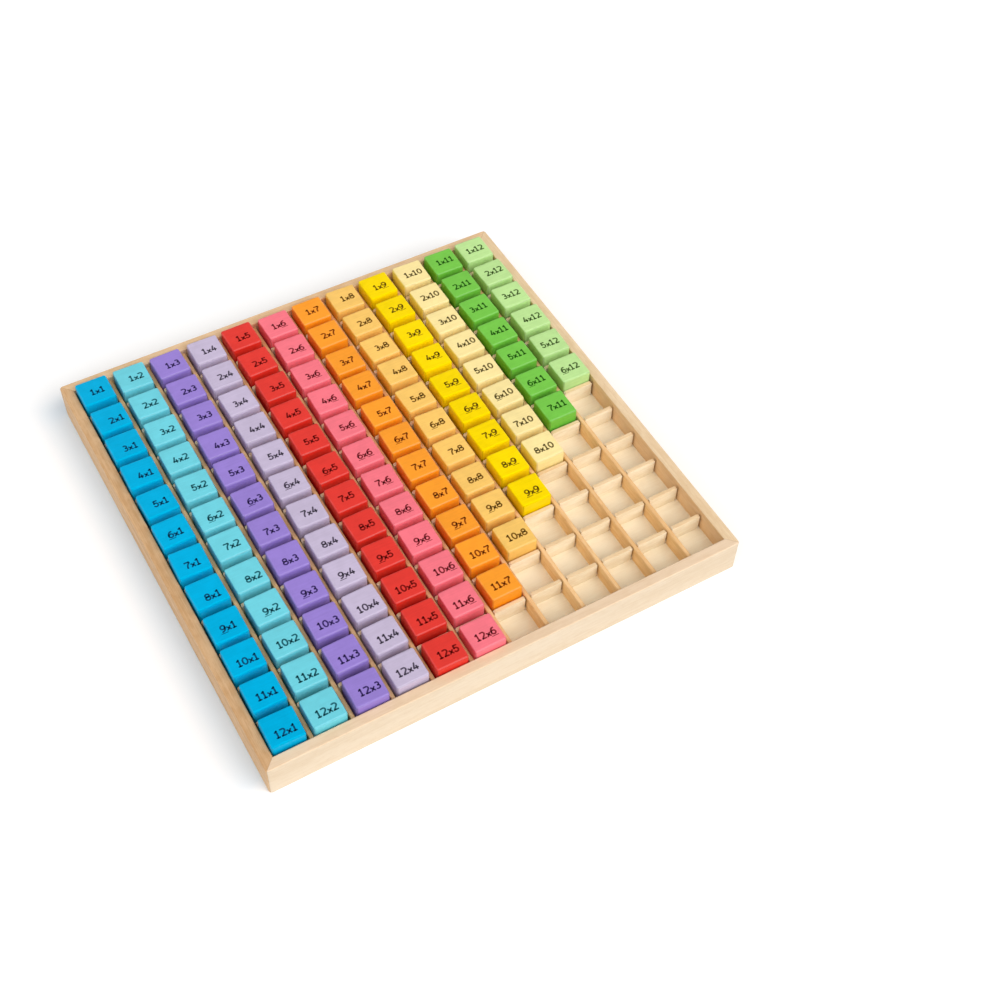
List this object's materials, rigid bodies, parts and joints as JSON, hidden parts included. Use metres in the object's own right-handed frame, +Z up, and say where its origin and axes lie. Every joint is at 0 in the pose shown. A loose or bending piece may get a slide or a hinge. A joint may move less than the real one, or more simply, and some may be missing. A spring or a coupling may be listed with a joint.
{
  "type": "times table tray",
  "caption": "Square wooden tray divided into a grid of cells, with coloured number blocks standing in the cells and a triangle of empty cells at one corner.",
  "frame": {"origin": "on the resting plane, under the middle of the square frame", "axes": "+Z up; +X along the columns from the first to the last; +Y from the front rail to the back rail, where the first row is"},
  "size_m": [0.3048, 0.3048, 0.0295],
  "materials": {
    "rail_wood": "sanded beech",
    "divider_wood": "sanded",
    "panel_wood": "plain panel",
    "blue_paint": "satin painted wood",
    "turquoise_paint": "satin painted wood",
    "purple_paint": "satin painted wood",
    "lilac_paint": "satin painted wood",
    "red_paint": "satin painted wood",
    "pink_paint": "satin painted wood",
    "orange_paint": "satin painted wood",
    "apricot_paint": "satin painted wood",
    "yellow_paint": "satin painted wood",
    "cream_paint": "satin painted wood",
    "green_paint": "satin painted wood",
    "light_green_paint": "satin painted wood"
  },
  "bodies": {
    "root": {"frame_rail_front": "rail_wood", "frame_rail_back": "rail_wood", "frame_rail_left": "rail_wood", "frame_rail_right": "rail_wood", "base_panel": "panel_wood", "long_divider_01": "divider_wood", "long_divider_02": "divider_wood", "long_divider_03": "divider_wood", "long_divider_04": "divider_wood", "long_divider_05": "divider_wood", "long_divider_06": "divider_wood", "long_divider_07": "divider_wood", "long_divider_08": "divider_wood", "long_divider_09": "divider_wood", "long_divider_10": "divider_wood", "long_divider_11": "divider_wood", "cross_divider_01": "divider_wood", "cross_divider_02": "divider_wood", "cross_divider_03": "divider_wood", "cross_divider_04": "divider_wood", "cross_divider_05": "divider_wood", "cross_divider_06": "divider_wood", "cross_divider_07": "divider_wood", "cross_divider_08": "divider_wood", "cross_divider_09": "divider_wood", "cross_divider_10": "divider_wood", "cross_divider_11": "divider_wood", "cubes_column_01": "blue_paint", "cubes_column_02": "turquoise_paint", "cubes_column_03": "purple_paint", "cubes_column_04": "lilac_paint", "cubes_column_05": "red_paint", "cubes_column_06": "pink_paint", "cubes_column_07": "orange_paint", "cubes_column_08": "apricot_paint", "cubes_column_09": "yellow_paint", "cubes_column_10": "cream_paint", "cubes_column_11": "green_paint", "cubes_column_12": "light_green_paint"}
  },
  "joints": []
}
